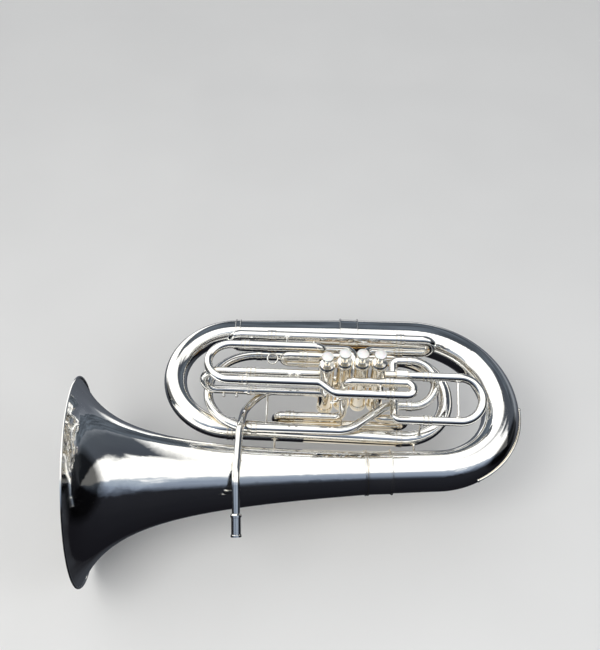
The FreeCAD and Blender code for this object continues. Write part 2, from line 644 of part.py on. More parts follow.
receiver = turned("receiver", [
    ("receiver_bore", "0"),
    ("receiver_radius + 1.2", "0"),
    ("receiver_radius + 1.2", "4"),
    ("receiver_radius", "5"),
    ("receiver_radius", "receiver_length - 8"),
    ("receiver_radius + 1.5", "receiver_length - 7"),
    ("receiver_radius + 1.5", "receiver_length - 3"),
    ("leadpipe_radius + 0.6", "receiver_length"),
    ("leadpipe_radius", "receiver_length"),
    ("leadpipe_radius", "receiver_length - receiver_socket"),
    ("receiver_throat", "receiver_length - receiver_socket"),
    ("receiver_bore", "receiver_land"),
], placement=FreeCAD.Placement(leadpipe_end, FreeCAD.Rotation(Z_AXIS, -receiver_way)))
keep(receiver, "mouthpiece_receiver")

# ---------------------------------------------------------------- valves

knuckle_z = size("knuckle_z")
bore = size("knuckle_radius") - size("tube_wall")
first_bore = first_radius - size("tube_wall")
second_bore = second_radius - size("tube_wall")
third_bore = third_radius - size("tube_wall")
fourth_bore = fourth_radius - size("tube_wall")
main_bore = main_radius - size("tube_wall")
reach = size("port_reach")
valve_y = size("valve_y")


def knuckle_line(index):
    return (*valve_place(index), knuckle_z), (*valve_place(index + 1), knuckle_z)


# Ports of each valve: the line of the tube from the valve axis and the bore of the tube.
PORTS = [
    [((VALVE_ONE[0], *first_upper), (VALVE_ONE[0] - reach, *first_upper), first_bore),
     ((VALVE_ONE[0], *first_lower), (VALVE_ONE[0] - reach, *first_lower), first_bore),
     (LEADPIPE[0], LEADPIPE[1], size("leadpipe_radius") - size("tube_wall")),
     (*knuckle_line(0), bore)],
    [(*reversed(knuckle_line(0)), bore),
     (*knuckle_line(1), bore),
     ((two_x, valve_y, second_upper[1]), (two_x, valve_y + reach, second_upper[1]), second_bore),
     ((two_x, valve_y, second_lower[1]), (two_x, valve_y + reach, second_lower[1]), second_bore)],
    [(*reversed(knuckle_line(1)), bore),
     (*knuckle_line(2), bore),
     (*reversed(third_left_port), third_bore),
     (*reversed(third_right_port), third_bore)],
    [(*reversed(knuckle_line(2)), bore),
     ((four_x, *upper_main), (four_x + reach, *upper_main), main_bore),
     (fourth_port, (four_x, valve_y + reach, fourth_port[2]), fourth_bore),
     ((four_x, valve_y, low_upper[1]), (four_x, valve_y - reach, low_upper[1]), fourth_bore)],
]
NAMES = ("one", "two", "three", "four")


def primitive_cylinder(name, radius, bottom, top, place):
    """An upright Part::Cylinder bound to the sheet."""
    item = doc.addObject("Part::Cylinder", name)
    item.setExpression("Radius", f"Sizes.{radius}")
    item.setExpression("Height", f"Sizes.{top} - Sizes.{bottom}")
    item.Placement.Base = Vector(*place, size(bottom))
    return item


def cut_item(name, base, tools):
    """Base with several tools cut from it."""
    union = doc.addObject("Part::MultiFuse", name + "Tools")
    union.Shapes = tools
    item = doc.addObject("Part::Cut", name)
    item.Base = base
    item.Tool = union
    return item


for index, name in enumerate(NAMES):
    place = valve_place(index)
    title = name.title()
    port_tools = []
    for number, (start, end, radius) in enumerate(PORTS[index]):
        port = doc.addObject("Part::Feature", f"Port{title}{number}")
        port.Shape = bar(start, end, radius)
        port_tools.append(port)
    shell = primitive_cylinder(f"Casing{title}", "casing_radius", "casing_bottom", "casing_top", place)
    hollow = primitive_cylinder(f"CasingBore{title}", "casing_bore", "casing_bottom", "casing_top",
                                place)
    keep(cut_item(f"ValveCasing{title}", shell, [hollow] + port_tools), f"valve_casing_{name}")
    plug = primitive_cylinder(f"Plug{title}", "piston_radius", "piston_bottom", "piston_top", place)
    recess = primitive_cylinder(f"Recess{title}", "recess_radius", "piston_bottom", "recess_top", place)
    keep(cut_item(f"Piston{title}", plug, [recess] + port_tools), f"piston_{name}")
    keep(turned(f"button_{name}", [
        ("0", "piston_top"),
        ("stem_radius + 4", "piston_top"),
        ("stem_radius + 4", "piston_top + 3"),
        ("stem_radius", "piston_top + 4"),
        ("stem_radius", "button_bottom - 3"),
        ("button_radius - 4", "button_bottom"),
        ("button_radius - 1", "button_bottom"),
        ("button_radius", "button_bottom + 1"),
        ("button_radius", "button_top - 1"),
        ("button_radius - 0.7", "button_top"),
        ("pearl_radius", "button_top"),
        ("pearl_radius", "pearl_seat"),
        ("0", "pearl_seat"),
    ], place), f"finger_button_{name}")
    inlay = primitive_cylinder(f"Inlay{title}", "pearl_radius", "pearl_seat", "pearl_crown", place)
    dome = doc.addObject("Part::Sphere", f"Dome{title}")
    dome.Placement.Base = Vector(*place, 0)
    dome.setExpression("Radius", "Sizes.pearl_dome_radius")
    dome.setExpression("Placement.Base.z", "Sizes.pearl_crown - Sizes.pearl_dome_radius")
    pearl = doc.addObject("Part::MultiCommon", f"Pearl{title}")
    pearl.Shapes = [inlay, dome]
    keep(pearl, f"button_pearl_{name}")

top_caps = []
bottom_caps = []
for index, name in enumerate(NAMES):
    top_caps.append(turned(f"top_cap_{name}", [
        ("stem_hole", "cap_top - 3"),
        ("cap_bore", "cap_top - 4"),
        ("cap_bore", "cap_skirt_bottom"),
        ("cap_radius - 0.6", "cap_skirt_bottom"),
        ("cap_radius", "cap_skirt_bottom + 1"),
        ("cap_radius", "cap_top - 4"),
        ("cap_radius - 2.5", "cap_top - 1"),
        ("stem_radius + 4", "cap_top"),
        ("stem_radius + 3", "cap_top + 1"),
        ("stem_hole", "cap_top + 1"),
    ], valve_place(index)))
    bottom_caps.append(turned(f"bottom_cap_{name}", [
        ("0", "bottom_boss_low"),
        ("bottom_boss_radius - 1", "bottom_boss_low"),
        ("bottom_boss_radius", "bottom_boss_low + 1"),
        ("bottom_boss_radius", "bottom_cap_low"),
        ("cap_radius - 3", "bottom_cap_low"),
        ("cap_radius", "bottom_cap_low + 3"),
        ("cap_radius", "bottom_cap_high"),
        ("cap_bore", "bottom_cap_high"),
        ("cap_bore", "casing_bottom"),
        ("0", "casing_bottom"),
    ], valve_place(index)))
for label, caps in (("top_caps", top_caps), ("bottom_caps", bottom_caps)):
    group = doc.addObject("Part::Compound", label.title().replace("_", ""))
    group.Links = caps
    keep(group, label)

knuckles = []
for index in range(3):
    start, end = knuckle_line(index)
    sleeve = bar(start, end, size("knuckle_radius")).cut(bar(start, end, bore))
    knuckles.append(sleeve.cut(casing_core(index)).cut(casing_core(index + 1)))
feature("valve_knuckles", Part.makeCompound(knuckles))

# Each spring stands on the bottom cap and pushes in the piston's recess.
spring_gap = 0.1
wire = size("spring_wire")
spring_low = size("casing_bottom") + wire + spring_gap
spring_height = size("recess_top") - size("casing_bottom") - 2 * (wire + spring_gap)
for index, name in enumerate(NAMES):
    helix = Part.makeHelix(size("spring_pitch"), spring_height, size("spring_radius"))
    start = Vector(size("spring_radius"), 0, 0)
    section = Part.Wire(Part.makeCircle(wire, start, Vector(0, 1, 0)))
    coil = Part.Wire(helix).makePipeShell([section], True, True)
    feature(f"valve_spring_{name}", coil,
            FreeCAD.Placement(Vector(*valve_place(index), spring_low), FreeCAD.Rotation()))

# ---------------------------------------------------------------- ferrules, braces and small parts

def collar(start, end, radius, labels):
    """A ring over a joint, cut to fit the tubes inside it."""
    ring = bar(start, end, radius)
    for label in labels:
        for outer in outlines[label]:
            ring = ring.cut(outer)
    solids = sorted(ring.Solids, key=lambda solid: solid.Volume)
    return solids[-1]


def belted_collar(middle, way, length, radius, labels):
    """A wide ferrule with a raised band at each end."""
    middle = Vector(*middle)
    way = Vector(*way)
    half_length = length / 2
    bands = [collar(tuple(middle - way * half_length), tuple(middle + way * half_length),
                    radius + size("belt_height"), labels)]
    for side in (-1, 1):
        near = middle + way * side * (half_length - size("band_inset"))
        far = middle + way * side * (half_length + 1)
        bands.append(collar(tuple(near), tuple(far), radius + 2 * size("belt_height"), labels))
    return fused(bands)


feature("bow_ferrules", Part.makeCompound([
    belted_collar(throat, BELL_WAY, size("throat_ferrule_length"), throat_radius,
                  ["bell", "bottom_bow"]),
    belted_collar((size("outer_joint_x"), outer_y, 0), (1, 0, 0), size("outer_ferrule_length"),
                  size("bow_radius_out"), ["bottom_bow", "outer_branch"]),
]))
small_collars = [
    ((size("top_joint_x"), outer_y, 0), (1, 0, 0), size("outer_branch_radius"),
     ["outer_branch", "top_bow"]),
    ((size("top_joint_x"), second_y, 0), (1, -second_slope, 0), size("second_branch_radius"),
     ["second_branch", "top_bow"]),
    ((size("inner_joint_x"), second_branch_y(size("inner_joint_x")), 0), (1, -second_slope, 0),
     size("inner_bow_radius"), ["second_branch", "inner_right_bow"]),
    ((size("inner_joint_x"), *third), (1, 0, 0), size("inner_bow_radius"),
     ["third_branch", "inner_right_bow"]),
    ((size("left_joint_x"), *third), (1, 0, 0), size("small_branch_radius"),
     ["third_branch", "inner_left_bow"]),
    ((size("left_joint_x"), *crossover), (1, 0, 0), size("small_branch_radius"),
     ["crossover_branch", "inner_left_bow"]),
    ((return_x, *return_low), (1, 0, 0), main_radius, ["crossover_branch", "return_bow"]),
    ((return_x, *return_high), (1, 0, 0), main_radius, ["tuning_slide_sleeves", "return_bow"]),
]
rings = []
for centre, way, radius, labels in small_collars:
    half = Vector(*way).normalize() * size("collar_length") / 2
    rings.append(collar(tuple(Vector(*centre) - half), tuple(Vector(*centre) + half),
                        radius + size("belt_height"), labels))
wide_x = size("wide_collar_x")
rings.append(collar((wide_x, *upper_main), (wide_x + size("wide_collar_length"), *upper_main),
                    main_radius + size("wide_collar_height"), ["tuning_slide_sleeves"]))
# Each sleeve has a ferrule at its mouth: mouth, which way the sleeve runs, places and radius.
for mouth_x, side, places, radius, label in (
        (tuning_mouth_x, -1, (upper_main, lower_main), main_radius, "tuning_slide_sleeves"),
        (first_mouth_x, 1, (first_upper, first_lower), first_radius, "first_valve_sleeves"),
        (second_mouth_x, 1, (second_upper, second_lower), second_radius, "second_valve_sleeves"),
        (third_left_x, 1, (third_high, third_low), third_radius, "third_valve_sleeves"),
        (third_right_x, -1, (third_high, third_low), third_radius, "third_valve_sleeves"),
        (fourth_left_x, 1, (fourth_outer, fourth_inner), fourth_radius, "fourth_valve_sleeves"),
        (fourth_right_x, -1, (short_upper, short_lower), fourth_radius, "fourth_valve_sleeves"),
        (fourth_low_x, 1, (low_upper, low_lower), fourth_radius, "fourth_valve_sleeves")):
    inner_x = mouth_x + side * size("sleeve_ferrule_length")
    for place in places:
        rings.append(collar((mouth_x, *place), (inner_x, *place), radius + size("ferrule_height"),
                            [label]))
feature("tube_ferrules", Part.makeCompound(rings))


def bell_section(x):
    """A short cone that follows the outside of the bell around a place on its axis."""
    half = 15
    middle = x / BELL_WAY.x
    return Part.makeCone(horn_radius(middle - half), horn_radius(middle + half), 2 * half,
                         BELL_WAY * (middle - half), BELL_WAY)


def brace(start, end, labels, cores=()):
    """A rod with a foot on each tube, cut to fit the tubes it joins."""
    rod = bar(start, end, size("brace_radius"))
    for label in labels:
        for outer in [bell_section(end[0])] if label == "bell" else outlines[label]:
            rod = rod.cut(outer)
    for index in cores:
        rod = rod.cut(casing_core(index))
    return sorted(rod.Solids, key=lambda solid: solid.Volume)[-1]


BRACES = [
    ((381, *first_lower), (381, *crossover), ["first_valve_sleeves", "crossover_branch"], ()),
    ((710, *lower_main), (710, second_branch_y(710), 0),
     ["tuning_slide_sleeves", "inner_right_bow"], ()),
    ((760, 300, 2), (870, 300, 0), ["inner_right_bow", "bottom_bow"], ()),
    ((450, outer_y, 0), (450, *third), ["outer_branch", "third_branch"], ()),
    ((450, second_branch_y(450), 0), (450, *crossover), ["second_branch", "crossover_branch"], ()),
    ((700, second_branch_y(700), 0), (700, 48, 0), ["inner_right_bow", "bottom_bow"], ()),
    ((two_x, valve_y, -5), (two_x, second_branch_y(two_x), -5), ["second_branch"], (1,)),
    ((480, *third_low), (480, outer_y, 0), ["third_valve_sleeves", "outer_branch"], ()),
    ((420, *fourth_outer), (420, *third_high), ["fourth_valve_sleeves", "third_valve_sleeves"], ()),
    ((430, *fourth_inner), (430, *first_upper), ["fourth_valve_sleeves", "first_valve_sleeves"], ()),
    ((446, *fourth_inner), (446, *first_upper), ["fourth_valve_sleeves", "first_valve_sleeves"], ()),
    ((620, *short_upper), (620, *short_lower), ["fourth_valve_sleeves"], ()),
    ((329, 20, 99), (329, 22, 50), ["leadpipe", "bell"], ()),
    ((400, second_branch_y(400), 0), (400, 27, 0), ["second_branch", "bell"], ()),
]
feature("body_braces", Part.makeCompound([brace(*each) for each in BRACES]))
feature("tuning_slide_brace", brace((790, *upper_main), (790, *lower_main), ["tuning_slide"]))

# The second slide's pull ring stands off its bow on a short stem.
ring_radius = size("pull_ring_radius")
ring_z = (second_upper[1] + second_lower[1]) / 2
ring_centre = Vector(size("second_bow_x") - 2 * ring_radius, second_upper[0], ring_z)
ring_wire = size("ring_wire_radius")
pull_ring = Part.makeTorus(ring_radius, ring_wire, ring_centre, Vector(0, -0.5, 0.87))
stem = bar(tuple(ring_centre + Vector(ring_radius, 0, 0)), (size("second_bow_x"), *ring_centre[1:]),
           ring_wire + 0.2)
pull_ring = fused([pull_ring, stem]).cut(outlines["second_valve_slide"][0])
feature("second_slide_ring", sorted(pull_ring.Solids, key=lambda solid: solid.Volume)[-1])

knobs = []
for x in (286, 314):
    knob_end = Vector(x, first_lower[0] - size("knob_reach"), first_lower[1])
    knob = fused([bar((x, *first_lower), tuple(knob_end), size("knob_radius") / 2),
                  Part.makeSphere(size("knob_radius"), knob_end)])
    knobs.append(knob.cut(outlines["first_valve_slide"][0]).Solids[-1])
feature("first_slide_knobs", Part.makeCompound(knobs))

# The bow guard is a wire soldered along the outside of the bottom bow, with a ball at each end.
guard_angles = (-62, 2)
guard_centre = rounded_path(bow_corners, bow_bends)[1][2]
guard_sweep = size("bow_bell_bend") + size("guard_offset")
guard_wire = Part.makeTorus(guard_sweep, size("guard_radius"), guard_centre, Z_AXIS, -180, 180,
                            guard_angles[1] - guard_angles[0])
guard_wire.rotate(guard_centre, Z_AXIS, guard_angles[0])
guard_parts = [guard_wire]
for angle in guard_angles:
    way = FreeCAD.Rotation(Z_AXIS, angle).multVec(Vector(1, 0, 0))
    guard_parts.append(Part.makeSphere(size("guard_ball"), guard_centre + way * guard_sweep))
guard = fused(guard_parts).cut(outlines["bottom_bow"][0])
feature("bow_guard", sorted(guard.Solids, key=lambda solid: solid.Volume)[-1])

# ---------------------------------------------------------------- water key

# The water hole is in the upright tube; the key is made level and then turned about the hole.
key_x = short_x
key_z = size("key_z")
tube_slant = (low_upper[0] - short_upper[0]) / (short_upper[1] - low_upper[1])
tube_y = short_upper[0] + tube_slant * (short_upper[1] - key_z)
face_y = tube_y - fourth_radius
seat_y = face_y - 2
pin_x = key_x - size("key_reach")
pin_y = face_y - 3
half_width = size("key_width") / 2
thickness = size("key_thickness")
lever_y = pin_y - 2.6


def turned_key(shape):
    """The shape turned about the water hole to the key's slant."""
    shape.rotate(Vector(key_x, 0, key_z), Vector(0, 1, 0), size("key_turn"))
    return shape


def pin_bar(half_length, radius):
    """A bar along the hinge of the key."""
    return turned_key(bar((pin_x, pin_y, key_z - half_length), (pin_x, pin_y, key_z + half_length),
                          radius))


nipple = bar((key_x, tube_y, key_z), (key_x, seat_y, key_z), 3)
ears = [Part.makeBox(5, 7, 1.4, Vector(pin_x - 2.5, pin_y - 2, key_z + side * (half_width + 0.9) - 0.7))
        for side in (-1, 1)]
base = Part.makeBox(12, 1.6, 8.2, Vector(pin_x - 2.5, pin_y + 5, key_z - 4.1))
saddle = turned_key(fused(ears + [base]))
for outer in outlines["fourth_valve_sleeves"]:
    nipple = nipple.cut(outer)
    saddle = saddle.cut(outer)
saddle = saddle.cut(pin_bar(10, 0.8))
feature("water_key_saddle", Part.makeCompound([
    sorted(shape.Solids, key=lambda solid: solid.Volume)[-1] for shape in (nipple, saddle)]))
feature("water_key_pin", pin_bar(4.2, 0.75))
touch_x = key_x - size("key_touch")
lever = Part.makeBox(size("key_touch") + 4, thickness, size("key_width"),
                     Vector(touch_x, lever_y, key_z - half_width))
hub = Part.makeCylinder(2, size("key_width"), Vector(pin_x, pin_y, key_z - half_width))
touch = Part.makeCylinder(size("key_touch_radius"), thickness, Vector(touch_x, lever_y, key_z),
                          Vector(0, 1, 0))
cup = Part.makeCylinder(4.4, 1.2, Vector(key_x, pin_y - 1, key_z), Vector(0, 1, 0))
feature("water_key_lever", turned_key(fused([lever, hub, touch, cup])).cut(pin_bar(10, 0.8)))
feature("water_key_cork", bar((key_x, pin_y + 0.2, key_z), (key_x, seat_y - 0.05, key_z), 3.8))

# ---------------------------------------------------------------- check and export

doc.recompute()
for item in doc.Objects:
    if "Invalid" in item.State or "Error" in item.State:
        raise RuntimeError(f"{item.Label} failed: {item.State}")
for item in exported:
    if item.Shape.isNull() or not item.Shape.isValid() or not item.Shape.Solids:
        raise RuntimeError(f"{item.Label} has no valid shape")
os.makedirs("parts", exist_ok=True)
for item in exported:
    item.Shape.exportStep(f"parts/{item.Label}.step")
print(len(exported), "pieces")
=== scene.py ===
"""Looks of the four-valve tuba: silver plate, pearl buttons, felts, and a pale studio."""
import json
import math

import bmesh
import bpy
import numpy as np
from mathutils import Matrix, Vector
from mathutils.bvhtree import BVHTree

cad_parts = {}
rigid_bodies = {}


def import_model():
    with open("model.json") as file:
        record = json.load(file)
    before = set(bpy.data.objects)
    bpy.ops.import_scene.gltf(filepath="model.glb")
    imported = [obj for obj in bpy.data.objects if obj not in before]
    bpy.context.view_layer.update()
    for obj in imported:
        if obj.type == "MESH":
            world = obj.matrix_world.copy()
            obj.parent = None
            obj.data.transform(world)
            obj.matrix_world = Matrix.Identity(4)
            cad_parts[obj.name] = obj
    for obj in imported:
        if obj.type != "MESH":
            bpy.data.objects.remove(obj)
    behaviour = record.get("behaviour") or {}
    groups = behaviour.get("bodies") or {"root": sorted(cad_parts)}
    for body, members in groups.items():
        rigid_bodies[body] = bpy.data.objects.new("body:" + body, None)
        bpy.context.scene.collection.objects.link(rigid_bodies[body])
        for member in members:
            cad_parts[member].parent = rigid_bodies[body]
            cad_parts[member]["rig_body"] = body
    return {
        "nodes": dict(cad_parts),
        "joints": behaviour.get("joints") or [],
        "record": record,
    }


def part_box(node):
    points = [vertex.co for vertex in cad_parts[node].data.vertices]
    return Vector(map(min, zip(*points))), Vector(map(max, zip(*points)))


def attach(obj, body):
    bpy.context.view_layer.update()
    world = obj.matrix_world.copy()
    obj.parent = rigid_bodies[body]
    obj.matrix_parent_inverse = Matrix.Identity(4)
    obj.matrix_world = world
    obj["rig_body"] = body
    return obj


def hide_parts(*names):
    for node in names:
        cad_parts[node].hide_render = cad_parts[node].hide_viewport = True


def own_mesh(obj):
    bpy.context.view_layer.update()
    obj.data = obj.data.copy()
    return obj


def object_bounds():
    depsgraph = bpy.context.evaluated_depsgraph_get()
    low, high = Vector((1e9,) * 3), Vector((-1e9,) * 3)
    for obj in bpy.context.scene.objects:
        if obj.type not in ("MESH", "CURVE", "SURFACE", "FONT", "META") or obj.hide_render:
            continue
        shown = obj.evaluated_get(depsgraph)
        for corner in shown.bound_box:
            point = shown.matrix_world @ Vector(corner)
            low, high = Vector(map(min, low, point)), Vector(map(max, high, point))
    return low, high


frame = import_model()
CAD_LOW, CAD_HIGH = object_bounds()
MM = 0.001
ROOT = "horn"
NUMBERS = ("one", "two", "three", "four")
nodes = frame["nodes"]


# ------------------------------------------------------------------ materials

class Shader:
    """A node material with a few short ways to add and join nodes."""

    def __init__(self, name):
        self.material = bpy.data.materials.new(name)
        self.material.use_nodes = True
        self.tree = self.material.node_tree
        self.tree.nodes.clear()
        self.output = self.add("ShaderNodeOutputMaterial")
        self.surface = self.add("ShaderNodeBsdfPrincipled")
        self.join(self.surface, "BSDF", self.output, "Surface")
        self.place = self.add("ShaderNodeTexCoord")

    def add(self, kind, **settings):
        """A new node, with some of its settings given by name."""
        node = self.tree.nodes.new(kind)
        for key, value in settings.items():
            setattr(node, key, value)
        return node

    def join(self, source, output, target, key):
        """A link from one node's output to another node's input."""
        self.tree.links.new(source.outputs[output], target.inputs[key])

    def noise(self, scale, detail, stretch=None):
        """Noise over the object, in metres; stretch scales it along each axis."""
        node = self.add("ShaderNodeTexNoise")
        node.inputs["Scale"].default_value = scale
        node.inputs["Detail"].default_value = detail
        if stretch:
            mapping = self.add("ShaderNodeMapping")
            mapping.inputs["Scale"].default_value = stretch
            self.join(self.place, "Object", mapping, "Vector")
            self.join(mapping, "Vector", node, "Vector")
        else:
            self.join(self.place, "Object", node, "Vector")
        return node

    def ramp(self, source, output, stops):
        """A colour ramp of (position, colour) stops fed by one output."""
        node = self.add("ShaderNodeValToRGB")
        elements = node.color_ramp.elements
        while len(elements) < len(stops):
            elements.new(0.5)
        for element, (position, colour) in zip(elements, stops):
            element.position = position
            element.color = (*colour, 1.0)
        self.join(source, output, node, "Fac")
        return node

    def span(self, source, output, low, high, start=0.3, end=0.7):
        """Maps an output to a range of numbers; most noise lies between 0.3 and 0.7."""
        node = self.add("ShaderNodeMapRange")
        node.inputs["From Min"].default_value = start
        node.inputs["From Max"].default_value = end
        node.inputs["To Min"].default_value = low
        node.inputs["To Max"].default_value = high
        self.join(source, output, node, "Value")
        return node

    def blend(self, share, first, second):
        """The colour of two ramps mixed by the result of a span."""
        node = self.add("ShaderNodeMix", data_type="RGBA")
        self.join(share, "Result", node, "Factor")
        inputs = [item for item in node.inputs if item.type == "RGBA"]
        self.tree.links.new(first.outputs["Color"], inputs[0])
        self.tree.links.new(second.outputs["Color"], inputs[1])
        return [item for item in node.outputs if item.type == "RGBA"][0]

    def bump(self, source, output, strength, distance, below=None):
        """Relief from an output, laid over the relief of another bump node if given."""
        node = self.add("ShaderNodeBump")
        node.inputs["Strength"].default_value = strength
        node.inputs["Distance"].default_value = distance
        self.join(source, output, node, "Height")
        if below is not None:
            self.join(below, "Normal", node, "Normal")
        return node


def silver_plate(name, roughness, warmth, scratch=1.0):
    """Polished silver plate: haze, fine scratches, and warm tarnish where tubes crowd together."""
    shader = Shader(name)
    shader.surface.inputs["Metallic"].default_value = 1.0
    haze = shader.noise(9.0, 5.0)
    fine = shader.noise(420.0, 3.0, (0.08, 1.0, 1.0))
    crowding = shader.add("ShaderNodeAmbientOcclusion")
    crowding.samples = 6
    crowding.inputs["Distance"].default_value = 0.035
    open_metal = shader.ramp(haze, "Fac", [
        (0.35, (0.93, 0.925, 0.91)),
        (0.65, (0.95, 0.94, 0.90)),
    ])
    tarnish = shader.ramp(haze, "Fac", [
        (0.3, (0.86, 0.70, 0.42)),
        (0.7, (0.93, 0.84, 0.66)),
    ])
    amount = shader.span(crowding, "AO", warmth, 0.0, 0.25, 0.85)
    colour = shader.blend(amount, open_metal, tarnish)
    shader.tree.links.new(colour, shader.surface.inputs["Base Color"])
    smear = shader.span(haze, "Fac", roughness * 0.6, roughness * 1.9)
    shader.join(smear, "Result", shader.surface, "Roughness")
    wave = shader.bump(haze, "Fac", 0.12, 0.004)
    scratches = shader.bump(fine, "Fac", 0.02 * scratch, 0.0006, wave)
    shader.join(scratches, "Normal", shader.surface, "Normal")
    return shader.material


def satin_metal(name, colour, roughness):
    """Turned bare metal with rings of tool marks."""
    shader = Shader(name)
    shader.surface.inputs["Metallic"].default_value = 1.0
    marks = shader.noise(300.0, 3.0, (0.3, 0.3, 4.0))
    tone = shader.ramp(marks, "Fac", [
        (0.3, tuple(channel * 0.85 for channel in colour)),
        (0.7, colour),
    ])
    shader.join(tone, "Color", shader.surface, "Base Color")
    rough = shader.span(marks, "Fac", roughness * 0.8, roughness * 1.3)
    shader.join(rough, "Result", shader.surface, "Roughness")
    relief = shader.bump(marks, "Fac", 0.08, 0.0004)
    shader.join(relief, "Normal", shader.surface, "Normal")
    return shader.material


def pearl_material():
    """White mother-of-pearl under a clear coat, with faint pink and green bands."""
    shader = Shader("pearl")
    swirl = shader.noise(160.0, 3.0, (1.0, 2.2, 0.6))
    tone = shader.ramp(swirl, "Fac", [
        (0.30, (0.80, 0.84, 0.83)),
        (0.45, (0.95, 0.94, 0.92)),
        (0.58, (0.94, 0.88, 0.89)),
        (0.72, (0.97, 0.97, 0.95)),
    ])
    shader.join(tone, "Color", shader.surface, "Base Color")
    shader.surface.inputs["Roughness"].default_value = 0.18
    shader.surface.inputs["Coat Weight"].default_value = 0.8
    shader.surface.inputs["Coat Roughness"].default_value = 0.04
    shader.surface.inputs["Subsurface Weight"].default_value = 0.25
    shader.surface.inputs["Subsurface Scale"].default_value = 0.003
    return shader.material


def felt_material(name, colour):
    """Matted wool felt."""
    shader = Shader(name)
    fibre = shader.noise(2200.0, 6.0)
    tone = shader.ramp(fibre, "Fac", [
        (0.3, tuple(channel * 0.6 for channel in colour)),
        (0.7, colour),
    ])
    shader.join(tone, "Color", shader.surface, "Base Color")
    shader.surface.inputs["Roughness"].default_value = 0.95
    shader.surface.inputs["Sheen Weight"].default_value = 0.5
    relief = shader.bump(fibre, "Fac", 0.6, 0.0006)
    shader.join(relief, "Normal", shader.surface, "Normal")
    return shader.material


def cork_material():
    """Pressed cork with dark flecks."""
    shader = Shader("cork")
    flecks = shader.add("ShaderNodeTexVoronoi")
    flecks.inputs["Scale"].default_value = 900.0
    shader.join(shader.place, "Object", flecks, "Vector")
    tone = shader.ramp(flecks, "Distance", [
        (0.10, (0.30, 0.17, 0.08)),
        (0.35, (0.62, 0.42, 0.24)),
        (0.80, (0.74, 0.55, 0.34)),
    ])
    shader.join(tone, "Color", shader.surface, "Base Color")
    shader.surface.inputs["Roughness"].default_value = 0.85
    relief = shader.bump(flecks, "Distance", 0.4, 0.0005)
    shader.join(relief, "Normal", shader.surface, "Normal")
    return shader.material


BELL_SILVER = silver_plate("bell_silver", 0.055, 0.25)
BRANCH_SILVER = silver_plate("branch_silver", 0.06, 0.5)
TUBING_SILVER = silver_plate("tubing_silver", 0.075, 0.9, 1.5)
FITTING_SILVER = silver_plate("fitting_silver", 0.09, 0.8, 2.0)
PISTON_METAL = satin_metal("piston_nickel", (0.62, 0.60, 0.56), 0.28)
SPRING_STEEL = satin_metal("spring_steel", (0.45, 0.46, 0.48), 0.32)
PEARL = pearl_material()
CORK = cork_material()
FELT = felt_material("cap_felt", (0.82, 0.80, 0.74))

SLOT_MATERIALS = {
    "bell": BELL_SILVER,
    "branches": BRANCH_SILVER,
    "collars": FITTING_SILVER,
    "valve_tubing": TUBING_SILVER,
    "slides": TUBING_SILVER,
    "receiver": FITTING_SILVER,
    "casings": TUBING_SILVER,
    "buttons": FITTING_SILVER,
    "water_key": FITTING_SILVER,
    "pistons": PISTON_METAL,
    "pearls": PEARL,
    "springs": SPRING_STEEL,
    "cork": CORK,
}
node_slot = {part["node"]: part["material_slot"] for part in frame["record"]["subparts"]}
for name, item in nodes.items():
    item.data.materials.clear()
    item.data.materials.append(SLOT_MATERIALS[node_slot[name]])

# ------------------------------------------------------------------ geometry helpers

RING_STEPS = 64
BEAD_SIDES = 10
WIRE_SIDES = 10
SHARP_EDGE = math.radians(40)


def finished(mesh, name, material, body):
    """Turns a bmesh into a smooth piece that rides on a body."""
    bmesh.ops.recalc_face_normals(mesh, faces=mesh.faces)
    data = bpy.data.meshes.new(name)
    mesh.to_mesh(data)
    mesh.free()
    data.materials.append(material)
    data.shade_smooth()
    data.set_sharp_from_angle(angle=SHARP_EDGE)
    item = bpy.data.objects.new(name, data)
    bpy.context.scene.collection.objects.link(item)
    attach(item, body)
    return item


def side_axes(way):
    """Two unit vectors square to a direction and to each other."""
    guide = Vector((0, 0, 1)) if abs(way.z) < 0.9 else Vector((1, 0, 0))
    first = way.cross(guide).normalized()
    return first, way.cross(first).normalized()


def join_rings(mesh, rings, closed=False):
    """Quads between rings of equal length, and between the last and the first if closed."""
    following = rings[1:] + rings[:1] if closed else rings[1:]
    for ring, after in zip(rings, following):
        count = len(ring)
        for step in range(count):
            ahead = (step + 1) % count
            mesh.faces.new((ring[step], ring[ahead], after[ahead], after[step]))


def add_lathe(mesh, profile, centre, way, steps=RING_STEPS, tooth=0.0, toothed=()):
    """A closed ring turned from (radius, height) points; toothed points alternate by tooth."""
    first, second = side_axes(way)
    rings = []
    for number, (radius, height) in enumerate(profile):
        ring = []
        for step in range(steps):
            angle = 2 * math.pi * step / steps
            grown = radius + (tooth if number in toothed and step % 4 < 2 else 0.0)
            spoke = first * math.cos(angle) + second * math.sin(angle)
            ring.append(mesh.verts.new(centre + way * height + spoke * grown))
        rings.append(ring)
    join_rings(mesh, rings, closed=True)


def add_bead(mesh, centre, way, radius, thickness):
    """A round bead ring."""
    profile = []
    for step in range(BEAD_SIDES):
        angle = 2 * math.pi * step / BEAD_SIDES
        profile.append((radius + thickness * math.cos(angle), thickness * math.sin(angle)))
    add_lathe(mesh, profile, centre, way)


